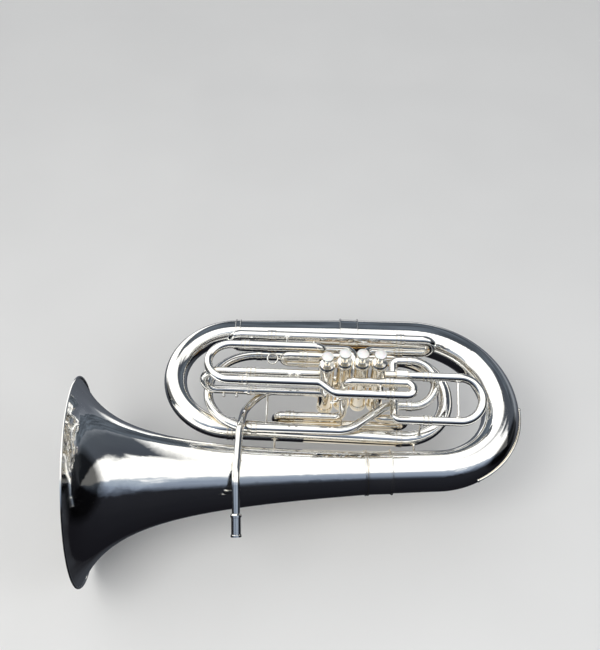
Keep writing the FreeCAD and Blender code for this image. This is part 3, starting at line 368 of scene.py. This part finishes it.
def add_tube(mesh, points, thickness):
    """A round wire through points, closed at both ends."""
    rings = []
    side = None
    for number, point in enumerate(points):
        ahead = points[min(number + 1, len(points) - 1)] - points[max(number - 1, 0)]
        way = ahead.normalized()
        side = side_axes(way)[0] if side is None else (side - way * side.dot(way)).normalized()
        other = way.cross(side)
        ring = []
        for step in range(WIRE_SIDES):
            angle = 2 * math.pi * step / WIRE_SIDES
            spoke = side * math.cos(angle) + other * math.sin(angle)
            ring.append(mesh.verts.new(point + spoke * thickness))
        rings.append(ring)
    join_rings(mesh, rings)
    mesh.faces.new(rings[0][::-1])
    mesh.faces.new(rings[-1])


def separate_solids(node):
    """The vertices of each separate solid of a CAD node, as arrays."""
    mesh = bmesh.new()
    mesh.from_mesh(nodes[node].data)
    bmesh.ops.remove_doubles(mesh, verts=mesh.verts, dist=1e-6)
    seen = set()
    clouds = []
    for seed in mesh.verts:
        if seed in seen:
            continue
        seen.add(seed)
        queue = [seed]
        for vertex in queue:
            for edge in vertex.link_edges:
                other = edge.other_vert(vertex)
                if other not in seen:
                    seen.add(other)
                    queue.append(other)
        clouds.append(np.array([vertex.co for vertex in queue]))
    mesh.free()
    return clouds


def main_axis(cloud, guide=None):
    """Centre and principal axis of a cloud; with a guide, the axis nearest to it."""
    centre = (cloud.min(0) + cloud.max(0)) / 2
    axes = np.linalg.svd(cloud - cloud.mean(0), full_matrices=False)[2]
    axis = axes[0]
    if guide is not None:
        axis = max(axes, key=lambda each: abs(each @ np.array(guide)))
        axis = axis * math.copysign(1, axis @ np.array(guide))
    return Vector(centre), Vector(axis)


# ------------------------------------------------------------------ valves

UP = Vector((0, 0, 1))
VALVE_AXES = {}
for number in NUMBERS:
    low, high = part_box(f"valve_casing_{number}")
    VALVE_AXES[number] = Vector(((low.x + high.x) / 2, (low.y + high.y) / 2, 0))
casing_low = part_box("valve_casing_one")[0].z
cap_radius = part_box("top_caps")[1].x - VALVE_AXES["four"].x
bottom_cap_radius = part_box("bottom_caps")[1].x - VALVE_AXES["four"].x
cap_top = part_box("top_caps")[1].z
KNURL_STEPS = 288
KNURL_DEPTH = 0.35 * MM
FELT_DROP = 7.4 * MM        # from the top of a finger button to the top of its felt
SPRING_WIRE = 0.8 * MM
SPRING_TURNS = 5.5
COIL_STEPS = 40             # steps in one turn of a spring
END_SHARE = 0.12            # share of a spring's length that lies flat at each end
END_RISE = 2.2              # what a flat end climbs, in wire radii


def knurl(name, centre, radius, low_z, high_z):
    """A knurled band round a cap."""
    mesh = bmesh.new()
    profile = [
        (radius - 0.6 * MM, low_z),
        (radius + 0.1 * MM, low_z),
        (radius + KNURL_DEPTH, low_z + 0.5 * MM),
        (radius + KNURL_DEPTH, high_z - 0.5 * MM),
        (radius + 0.1 * MM, high_z),
        (radius - 0.6 * MM, high_z),
    ]
    add_lathe(mesh, profile, centre, UP, steps=KNURL_STEPS, tooth=KNURL_DEPTH, toothed=(2, 3))
    finished(mesh, name, FITTING_SILVER, ROOT)


def button_bezel(number, centre):
    """The rolled silver bezel that holds a pearl in its button."""
    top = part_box(f"finger_button_{number}")[1].z
    pearl_low, pearl_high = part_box(f"button_pearl_{number}")
    radius = (pearl_high.x - pearl_low.x) / 2
    mesh = bmesh.new()
    add_bead(mesh, Vector((centre.x, centre.y, top)), UP, radius + 0.55 * MM, 0.5 * MM)
    finished(mesh, f"button_bezel_{number}", FITTING_SILVER, f"valve_{number}")


def felt_washer(number, centre):
    """The felt on the stem under a finger button."""
    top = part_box(f"finger_button_{number}")[1].z - FELT_DROP
    profile = [
        (3.7 * MM, top - 1.6 * MM),
        (8.0 * MM, top - 1.7 * MM),
        (8.5 * MM, top - 1.3 * MM),
        (8.5 * MM, top - 0.4 * MM),
        (8.0 * MM, top),
        (3.7 * MM, top - 0.1 * MM),
    ]
    mesh = bmesh.new()
    add_lathe(mesh, profile, centre, UP)
    finished(mesh, f"felt_washer_{number}", FELT, f"valve_{number}")


def spring_coil(number, centre):
    """The valve spring as a coil with closed ends."""
    node = f"valve_spring_{number}"
    low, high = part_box(node)
    radius = (high.x - low.x) / 2 - SPRING_WIRE
    height = high.z - low.z - 2 * SPRING_WIRE
    end_rise = SPRING_WIRE * END_RISE
    count = int(SPRING_TURNS * COIL_STEPS)
    points = []
    for step in range(count + 1):
        share = step / count
        in_ends = min(share, END_SHARE) + max(share - (1 - END_SHARE), 0)
        climbing = min(max((share - END_SHARE) / (1 - 2 * END_SHARE), 0.0), 1.0)
        lift = end_rise * in_ends / END_SHARE + climbing * (height - 2 * end_rise)
        angle = 2 * math.pi * SPRING_TURNS * share
        points.append(Vector((centre.x + radius * math.cos(angle),
                              centre.y + radius * math.sin(angle), low.z + SPRING_WIRE + lift)))
    mesh = bmesh.new()
    add_tube(mesh, points, SPRING_WIRE)
    item = finished(mesh, f"spring_coil_{number}", SPRING_STEEL, ROOT)
    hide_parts(node)
    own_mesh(item)


for number, centre in VALVE_AXES.items():
    knurl(f"top_cap_knurl_{number}", centre, cap_radius, cap_top - 13 * MM, cap_top - 8 * MM)
    knurl(f"bottom_cap_knurl_{number}", centre, bottom_cap_radius,
          casing_low + 2 * MM, casing_low + 8 * MM)
    button_bezel(number, centre)
    felt_washer(number, centre)
    spring_coil(number, centre)

# ------------------------------------------------------------------ beads on the ferrules

ALONG = (1, 0, 0)
FERRULE_NODES = ("tube_ferrules", "bow_ferrules")
BEAD_INSET = 1.1 * MM
SMALL_BEAD = 0.75 * MM
LARGE_BEAD = 1.3 * MM
LARGE_TUBE = 20 * MM        # ferrules wider than this radius have the large bead
RING_MATCH = 0.1 * MM       # a slide's own ring has the radius of the ferrule, to this
RING_REACH = 20 * MM        # and lies this near to it
RING_POINTS = 8             # fewer points than this are not a ring
bead_meshes = {}


def bead_mesh(body):
    """The mesh that holds all the beads of a body."""
    if body not in bead_meshes:
        bead_meshes[body] = bmesh.new()
    return bead_meshes[body]


node_body = {name: item["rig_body"] for name, item in nodes.items()}
pull_joints = [joint for joint in frame["joints"] if joint["name"].startswith("pull_")]
for node in FERRULE_NODES:
    for cloud in separate_solids(node):
        centre, way = main_axis(cloud, ALONG)
        offsets = (cloud - np.array(centre)) @ np.array(way)
        spokes = cloud - np.array(centre) - np.outer(offsets, way)
        radius = float(np.linalg.norm(spokes, axis=1).max())
        thickness = SMALL_BEAD if radius < LARGE_TUBE else LARGE_BEAD
        for side in (offsets.min() + BEAD_INSET, offsets.max() - BEAD_INSET):
            add_bead(bead_mesh(ROOT), centre + way * side, way, radius, thickness)
        for joint in pull_joints:
            child = joint["child"]
            slide_node = frame["record"]["behaviour"]["bodies"][child][0]
            points = np.array([vertex.co for vertex in nodes[slide_node].data.vertices])
            flat = np.hypot(points[:, 1] - centre.y, points[:, 2] - centre.z)
            near = abs(points[:, 0] - centre.x) < RING_REACH
            on_ring = points[(abs(flat - radius) < RING_MATCH) & near]
            if len(on_ring) < RING_POINTS:
                continue
            for x in (on_ring[:, 0].min() + BEAD_INSET, on_ring[:, 0].max() - BEAD_INSET):
                add_bead(bead_mesh(child), Vector((x, centre.y, centre.z)), Vector(ALONG), radius,
                         thickness)
for body, mesh in bead_meshes.items():
    finished(mesh, f"ferrule_beads_{body}", FITTING_SILVER, body)

# ------------------------------------------------------------------ brace feet

def surface_tree(skipped):
    """A search tree over the CAD surfaces of the horn and the tuning slide."""
    points = []
    faces = []
    for name, item in nodes.items():
        if name in skipped or node_body[name] not in (ROOT, "tuning_slide_body"):
            continue
        start = len(points)
        points.extend(vertex.co.copy() for vertex in item.data.vertices)
        faces.extend([start + index for index in face.vertices] for face in item.data.polygons)
    return BVHTree.FromPolygons(points, faces)


BRACE_NODES = ("body_braces", "tuning_slide_brace")
tree = surface_tree(BRACE_NODES + FERRULE_NODES)
FOOT_LONG = 8.0 * MM
FOOT_WIDE = 4.6 * MM
FOOT_THICK = 0.9 * MM
FOOT_SINK = 0.3 * MM        # how far the underside is let into the tube
FOOT_STEPS = 40
FOOT_SEARCH = 8.0 * MM      # how far before and beyond a brace's end the tube is looked for
FOOT_MISS = 3.0 * MM        # where a point goes that misses the tube, below the middle
FOOT_BEND = 5.0 * MM        # the most a point may go below the middle
BRACE_SINK = 0.5 * MM
# Share of the foot's size and height over the tube: underside, edge and top.
FOOT_RINGS = ((0.3, -FOOT_SINK), (0.65, -FOOT_SINK), (1.0, -FOOT_SINK),
              (1.0, FOOT_THICK * 0.6), (0.8, FOOT_THICK), (0.55, FOOT_THICK * 1.2))
# Distance out from the rod and height over the tube of the collar round the rod.
COLLAR_RINGS = ((0.7 * MM, 1.8 * MM), (0.05 * MM, 3.6 * MM), (-0.5 * MM, 3.8 * MM))


def add_foot(mesh, end, way, rod_radius):
    """A leaf-shaped foot bent onto the tube that a brace stands on."""
    long_way = Vector(ALONG) - way * way.dot(Vector(ALONG))
    if long_way.length < 0.3:
        long_way = Vector((0, 1, 0)) - way * way.y
    long_way.normalize()
    wide_way = way.cross(long_way)

    def landing(share, angle):
        """A point of the foot, and how far along the brace it meets the tube."""
        spot = long_way * math.cos(angle) * FOOT_LONG + wide_way * math.sin(angle) * FOOT_WIDE
        start = end + spot * share - way * FOOT_SEARCH
        distance = tree.ray_cast(start, way, 2 * FOOT_SEARCH)[3]
        return spot * share, None if distance is None else distance - FOOT_SEARCH

    middle = landing(0.0, 0.0)[1] or 0.0
    rings = []
    for share, rise in FOOT_RINGS:
        ring = []
        for step in range(FOOT_STEPS):
            angle = 2 * math.pi * step / FOOT_STEPS
            spot, depth = landing(share, angle)
            depth = middle + FOOT_MISS if depth is None else min(depth, middle + FOOT_BEND)
            ring.append(mesh.verts.new(end + spot + way * (depth - rise)))
        rings.append(ring)
    for wider, height in COLLAR_RINGS:
        ring = []
        for step in range(FOOT_STEPS):
            angle = 2 * math.pi * step / FOOT_STEPS
            spoke = long_way * math.cos(angle) + wide_way * math.sin(angle)
            place = end + spoke * (rod_radius + wider) + way * (middle - height)
            ring.append(mesh.verts.new(place))
        rings.append(ring)
    join_rings(mesh, rings)
    mesh.faces.new(rings[0][::-1])
    mesh.faces.new(rings[-1])


for node, body in zip(BRACE_NODES, (ROOT, "tuning_slide_body")):
    mesh = bmesh.new()
    for cloud in separate_solids(node):
        centre, way = main_axis(cloud)
        offsets = (cloud - np.array(centre)) @ np.array(way)
        spokes = cloud - np.array(centre) - np.outer(offsets, way)
        radius = float(np.linalg.norm(spokes, axis=1).max())
        for sign, reach in ((1, offsets.max()), (-1, -offsets.min())):
            outward = way * sign
            add_foot(mesh, centre + outward * (reach - BRACE_SINK), outward, radius)
    finished(mesh, f"{node}_feet", FITTING_SILVER, body)

# ------------------------------------------------------------------ camera and studio

TARGET = Vector((0.4467, 0.4343, 0.0))
CAMERA_ELEVATION = math.radians(51.45)
CAMERA_ROLL = math.radians(1.88)
CAMERA_DISTANCE = 2.3554
CAMERA_LENS = 55.4
SENSOR_WIDTH = 36

look = Vector((0, math.cos(CAMERA_ELEVATION), -math.sin(CAMERA_ELEVATION)))
right = Vector((1, 0, 0))
up = right.cross(look)
rolled_right = right * math.cos(CAMERA_ROLL) + up * math.sin(CAMERA_ROLL)
rolled_up = up * math.cos(CAMERA_ROLL) - right * math.sin(CAMERA_ROLL)
camera_data = bpy.data.cameras.new("camera")
camera_data.lens = CAMERA_LENS
camera_data.sensor_width = SENSOR_WIDTH
camera = bpy.data.objects.new("camera", camera_data)
basis = Matrix((rolled_right, rolled_up, -look)).transposed()
camera.matrix_world = Matrix.Translation(TARGET - look * CAMERA_DISTANCE) @ basis.to_4x4()
bpy.context.scene.collection.objects.link(camera)
bpy.context.scene.camera = camera


def plain_material(name, colour):
    """A faintly mottled matt surface for the studio."""
    shader = Shader(name)
    mottle = shader.noise(3.0, 2.0)
    tone = shader.ramp(mottle, "Fac", [
        (0.3, tuple(channel * 0.97 for channel in colour)),
        (0.7, colour),
    ])
    shader.join(tone, "Color", shader.surface, "Base Color")
    shader.surface.inputs["Roughness"].default_value = 0.9
    return shader.material


def sheet(name, corners, material):
    """A flat four-cornered stage sheet."""
    mesh = bpy.data.meshes.new(name)
    mesh.from_pydata([Vector(corner) for corner in corners], [], [(0, 1, 2, 3)])
    mesh.materials.append(material)
    item = bpy.data.objects.new(name, mesh)
    bpy.context.scene.collection.objects.link(item)
    return item


FLOOR_Z = CAD_LOW.z
FLOOR_REACH = 12.0
floor = sheet("floor", [(x * FLOOR_REACH, y * FLOOR_REACH, FLOOR_Z)
                        for x, y in ((-1, -1), (1, -1), (1, 1), (-1, 1))],
              plain_material("floor_paint", (0.80, 0.80, 0.79)))
# The metal doesn't mirror the pale floor: it mirrors the dark half of the world instead, as a
# horn does in its lined case.
floor.visible_glossy = False


def soft_light(name, place, aim, width, height, power, colour):
    """A soft area light that lights the floor and the pearls but isn't mirrored in the silver."""
    data = bpy.data.lights.new(name, "AREA")
    data.shape = "RECTANGLE"
    data.size = width
    data.size_y = height
    data.energy = power
    data.color = colour
    item = bpy.data.objects.new(name, data)
    item.location = Vector(place)
    item.rotation_mode = "QUATERNION"
    item.rotation_quaternion = (Vector(aim) - Vector(place)).to_track_quat("-Z", "Y")
    item.visible_glossy = False
    bpy.context.scene.collection.objects.link(item)


CENTRE = (CAD_LOW + CAD_HIGH) / 2
soft_light("key", (-0.5, -1.1, 2.4), CENTRE, 1.6, 1.2, 34, (1.0, 0.985, 0.96))
soft_light("fill", (2.2, -0.8, 1.8), CENTRE, 1.4, 1.2, 10, (0.95, 0.97, 1.0))


def mirror_only(item):
    """Seen only as a reflection in the metal."""
    item.visible_camera = False
    item.visible_diffuse = False
    item.visible_shadow = False
    item.visible_transmission = False


def glowing_material(name, colour, dim, bright):
    """An even glow with cloudy changes of strength."""
    shader = Shader(name)
    light = shader.add("ShaderNodeEmission")
    light.inputs["Color"].default_value = (*colour, 1.0)
    cloud = shader.noise(7.0, 5.0)
    strength = shader.span(cloud, "Fac", dim, bright)
    shader.join(strength, "Result", light, "Strength")
    shader.join(light, "Emission", shader.output, "Surface")
    return shader.material


# A slate sheet over the outer branch gives it and the bottom bow their blue-grey band. Under
# the valves a cream sheet lights the casings' fronts and an amber one the gaps between them.
SLATE_LEFT = CAD_LOW.x + 0.10
SLATE_RIGHT = 1.3
SLATE_NEAR = CAD_HIGH.y
SLATE_FAR = 2.0
SLATE_TOP = 0.20
SLATE_BOTTOM = -0.35
slate = sheet("slate_reflection", [
    (SLATE_LEFT, SLATE_NEAR, SLATE_TOP), (SLATE_RIGHT, SLATE_NEAR, SLATE_TOP),
    (SLATE_RIGHT, SLATE_FAR, SLATE_BOTTOM), (SLATE_LEFT, SLATE_FAR, SLATE_BOTTOM)],
    glowing_material("slate_glow", (0.62, 0.74, 0.90), 0.05, 0.24))
GLOW_MARGIN = 0.03
CREAM_REACH = 0.11
AMBER_REACH = 0.07
valve_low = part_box("valve_casing_one")[0]
valve_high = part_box("valve_casing_four")[1]
glow_z = valve_low.z - GLOW_MARGIN
glow_left = valve_low.x - GLOW_MARGIN
glow_right = valve_high.x + GLOW_MARGIN
glow_middle = valve_high.y
for name, near, far, colour, dim, bright in (
        ("cream", valve_low.y - CREAM_REACH, glow_middle, (1.0, 0.92, 0.78), 0.35, 0.95),
        ("amber", glow_middle, glow_middle + AMBER_REACH, (0.80, 0.50, 0.20), 0.30, 0.60)):
    mirror_only(sheet(f"{name}_reflection", [
        (glow_left, near, glow_z), (glow_right, near, glow_z), (glow_right, far, glow_z),
        (glow_left, far, glow_z)], glowing_material(f"{name}_glow", colour, dim, bright)))
mirror_only(slate)

# What the silver mirrors, by angle about the X axis in degrees: 0 is straight up, 90 is level
# and away from the camera.
MIRROR_BANDS = [
    (-180, (0.006, 0.006, 0.008)),
    (-66, (0.012, 0.013, 0.017)),
    (-56, (0.07, 0.085, 0.115)),
    (-42, (0.20, 0.24, 0.31)),
    (-32, (0.30, 0.35, 0.42)),
    (-27, (0.95, 0.95, 0.94)),
    (106, (1.0, 1.0, 0.99)),
    (116, (0.09, 0.10, 0.12)),
    (180, (0.010, 0.010, 0.012)),
]
# The same for directions that lean towards +X, where the raised lid of a case would be.
LID_BANDS = MIRROR_BANDS[:6] + [
    (20, (0.95, 0.95, 0.94)),
    (28, (0.045, 0.052, 0.066)),
    (70, (0.06, 0.07, 0.085)),
    (96, (0.22, 0.24, 0.27)),
    (116, (0.09, 0.10, 0.12)),
    (180, (0.010, 0.010, 0.012)),
]
LID_START = (0.17, 0.30)        # how far towards +X the lid fades in
MIRROR_WIDTH = (0.86, 0.93)     # how far along X the bands reach before they dim
MIRROR_STRENGTH = 1.35
SIDE_STRENGTH = 0.14            # strength beyond the bands
BAND_WOBBLE = 0.022             # how far the bands' edges wander, as a share of a full turn
SUN_WAY = Vector((-0.30, -0.12, 0.95)).normalized()
SUN_STRENGTH = 9.0
SUN_EDGE = (5.0, 3.0)           # degrees from its centre where the sun's spot starts and is full
ROOM_COLOUR = (0.97, 0.98, 1.0, 1.0)
ROOM_STRENGTH = 0.62


class World(Shader):
    """Shader helpers on the world's own node tree."""

    def __init__(self, world):
        world.use_nodes = True
        self.tree = world.node_tree
        self.tree.nodes.clear()
        self.place = self.add("ShaderNodeTexCoord")

    def facing(self, way):
        """Cosine of the angle between the looked-at direction and a fixed way."""
        node = self.add("ShaderNodeVectorMath", operation="DOT_PRODUCT")
        self.join(self.place, "Generated", node, 0)
        node.inputs[1].default_value = way
        return node

    def angle_about_x(self, parts):
        """Angle of the looked-at direction about the X axis, as a share of a full turn."""
        node = self.add("ShaderNodeMath", operation="ARCTAN2")
        self.join(parts, "Y", node, 0)
        self.join(parts, "Z", node, 1)
        return self.span(node, "Value", 0.0, 1.0, -math.pi, math.pi)

    def bands(self, source, stops):
        """A ramp of colours by angle in degrees."""
        return self.ramp(source, "Value", [((angle + 180) / 360, colour) for angle, colour in stops])


world = bpy.data.worlds.new("studio")
bpy.context.scene.world = world
studio = World(world)
ripple = studio.add("ShaderNodeTexNoise")
ripple.inputs["Scale"].default_value = 3.2
ripple.inputs["Detail"].default_value = 5.0
studio.join(studio.place, "Generated", ripple, "Vector")
parts = studio.add("ShaderNodeSeparateXYZ")
studio.join(studio.place, "Generated", parts, 0)
wobble = studio.span(ripple, "Fac", -BAND_WOBBLE, BAND_WOBBLE)
edge = studio.add("ShaderNodeMath", operation="ADD")
studio.join(studio.angle_about_x(parts), "Result", edge, 0)
studio.join(wobble, "Result", edge, 1)
lid_share = studio.span(parts, "X", 0.0, 1.0, *LID_START)
mirror_tone = studio.blend(lid_share, studio.bands(edge, MIRROR_BANDS), studio.bands(edge, LID_BANDS))
sideways = studio.add("ShaderNodeMath", operation="ABSOLUTE")
studio.join(parts, "X", sideways, 0)
mirror_strength = studio.span(sideways, "Value", MIRROR_STRENGTH, SIDE_STRENGTH, *MIRROR_WIDTH)
mirrored = studio.add("ShaderNodeBackground")
studio.tree.links.new(mirror_tone, mirrored.inputs["Color"])
studio.join(mirror_strength, "Result", mirrored, "Strength")
sun_edge = [math.cos(math.radians(angle)) for angle in SUN_EDGE]
sun_strength = studio.span(studio.facing(SUN_WAY), "Value", 0.0, SUN_STRENGTH, *sun_edge)
sun_light = studio.add("ShaderNodeBackground")
studio.join(sun_strength, "Result", sun_light, "Strength")
with_sun = studio.add("ShaderNodeAddShader")
studio.join(mirrored, "Background", with_sun, 0)
studio.join(sun_light, "Background", with_sun, 1)
room = studio.add("ShaderNodeBackground")
room.inputs["Color"].default_value = ROOM_COLOUR
room.inputs["Strength"].default_value = ROOM_STRENGTH
ray = studio.add("ShaderNodeLightPath")
choice = studio.add("ShaderNodeMixShader")
studio.join(ray, "Is Glossy Ray", choice, "Fac")
studio.join(room, "Background", choice, 1)
studio.join(with_sun, "Shader", choice, 2)
studio.join(choice, "Shader", studio.add("ShaderNodeOutputWorld"), "Surface")
bpy.context.scene.view_settings.view_transform = "Standard"
